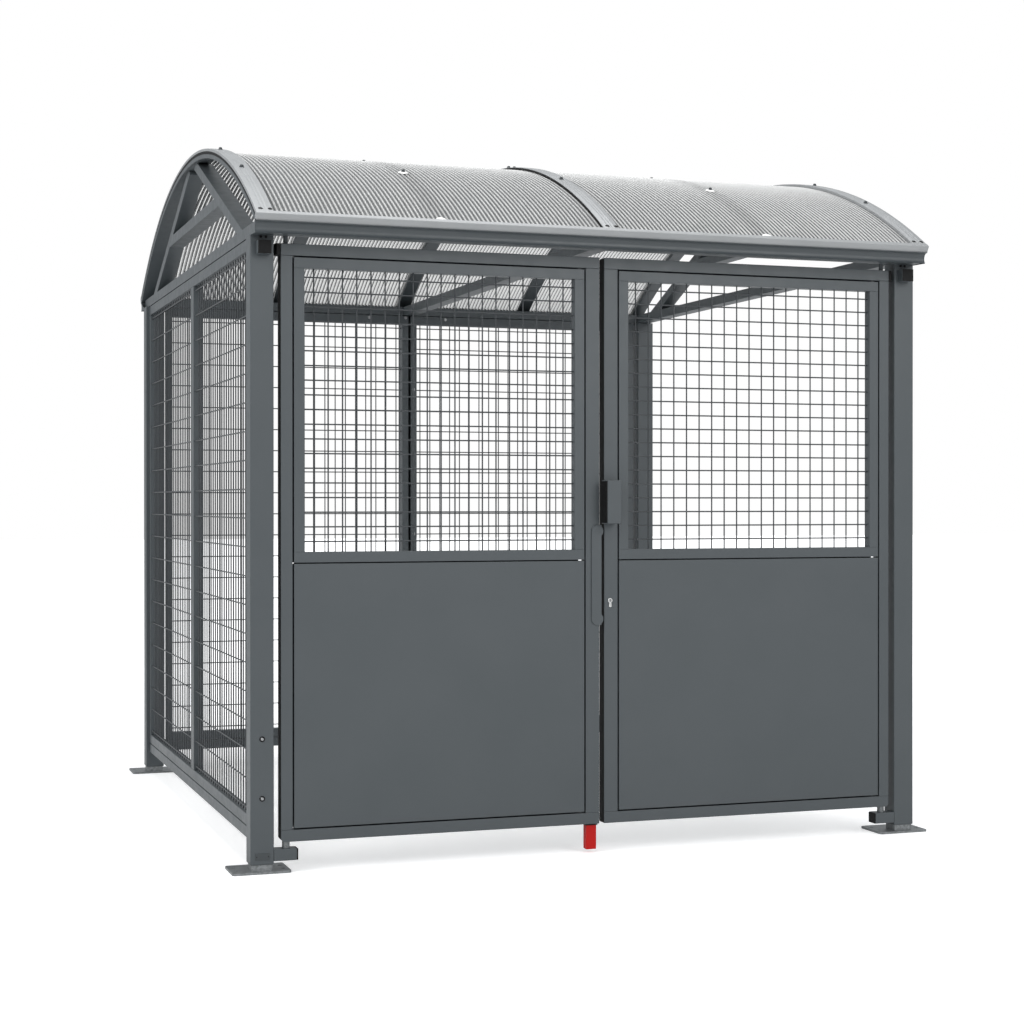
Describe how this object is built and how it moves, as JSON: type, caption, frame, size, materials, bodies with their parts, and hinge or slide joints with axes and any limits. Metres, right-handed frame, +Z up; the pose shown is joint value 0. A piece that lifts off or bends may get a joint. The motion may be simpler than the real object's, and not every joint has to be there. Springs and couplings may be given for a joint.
{
  "type": "bicycle shelter",
  "caption": "Steel bicycle shelter on foot plates with wire mesh walls, two swing leaves and a barrel roof of corrugated sheet on ribs and trusses.",
  "frame": {"origin": "on the ground, in the middle of the bounding box seen from above", "axes": "+X along the front from the hinge post with the side wall to the open end, +Y from the leaves to the back wall, +Z up"},
  "size_m": [2.64, 3.002, 2.635],
  "materials": {
    "grey_paint": "satin powder coat",
    "galvanised": "galvanised, matt",
    "trim_aluminium": "satin",
    "roof_sheet": "translucent corrugated sheet, satin",
    "black_plastic": "moulded, matt",
    "red_paint": "satin"
  },
  "bodies": {
    "shelter": {"foot_front_left": "galvanised", "foot_front_right": "galvanised", "foot_back_left": "galvanised", "foot_back_middle": "galvanised", "foot_back_right": "galvanised", "post_front_left": "grey_paint", "post_front_right": "grey_paint", "post_back_left": "grey_paint", "post_back_middle": "grey_paint", "post_back_right": "grey_paint", "side_base_beam": "grey_paint", "side_panel_frame": "grey_paint", "side_mesh_front": "grey_paint", "side_mesh_back": "grey_paint", "back_base_beams": "grey_paint", "back_top_beams": "grey_paint", "back_panel_frame_left": "grey_paint", "back_panel_frame_right": "grey_paint", "back_mesh_left": "grey_paint", "back_mesh_right": "grey_paint", "truss_left": "grey_paint", "truss_right": "grey_paint", "tie_beam_middle": "grey_paint", "arch_left": "grey_paint", "arch_middle": "grey_paint", "arch_right": "grey_paint", "arches_mid_bay": "grey_paint", "eave_front": "grey_paint", "eave_back": "grey_paint", "edge_trim_front": "trim_aluminium", "edge_trim_back": "trim_aluminium", "roof_sheet_left": "roof_sheet", "roof_sheet_right": "roof_sheet", "end_trim_left": "trim_aluminium", "end_trim_right": "trim_aluminium", "joint_cover": "trim_aluminium", "pivot_arm_left": "grey_paint", "pivot_arm_right": "grey_paint", "top_pivot_left": "grey_paint", "top_pivot_right": "grey_paint", "stop_block_left": "grey_paint", "stop_block_right": "grey_paint", "nameplate": "grey_paint"},
    "left_leaf": {"left_leaf_frame": "grey_paint", "left_infill_frame": "grey_paint", "left_leaf_mesh": "grey_paint", "left_lower_panel": "grey_paint", "left_top_bearing": "black_plastic", "cover_plate": "grey_paint"},
    "right_leaf": {"right_leaf_frame": "grey_paint", "right_infill_frame": "grey_paint", "right_leaf_mesh": "grey_paint", "right_lower_panel": "grey_paint", "right_top_bearing": "black_plastic", "handle_block": "grey_paint", "lock_cylinder": "galvanised"},
    "floor_bolt": {"floor_bolt": "red_paint"}
  },
  "joints": [
    {"name": "left_leaf_hinge", "type": "hinge", "parent": "shelter", "child": "left_leaf", "pos_m": [-1.135, -1.355, 1.1], "axis": [0, 0, 1], "range_deg": [-100, 0]},
    {"name": "right_leaf_hinge", "type": "hinge", "parent": "shelter", "child": "right_leaf", "pos_m": [1.135, -1.355, 1.1], "axis": [0, 0, 1], "range_deg": [0, 100]},
    {"name": "floor_bolt_slide", "type": "slide", "parent": "left_leaf", "child": "floor_bolt", "axis": [0, 0, 1], "range_m": [0, 0.1]}
  ]
}
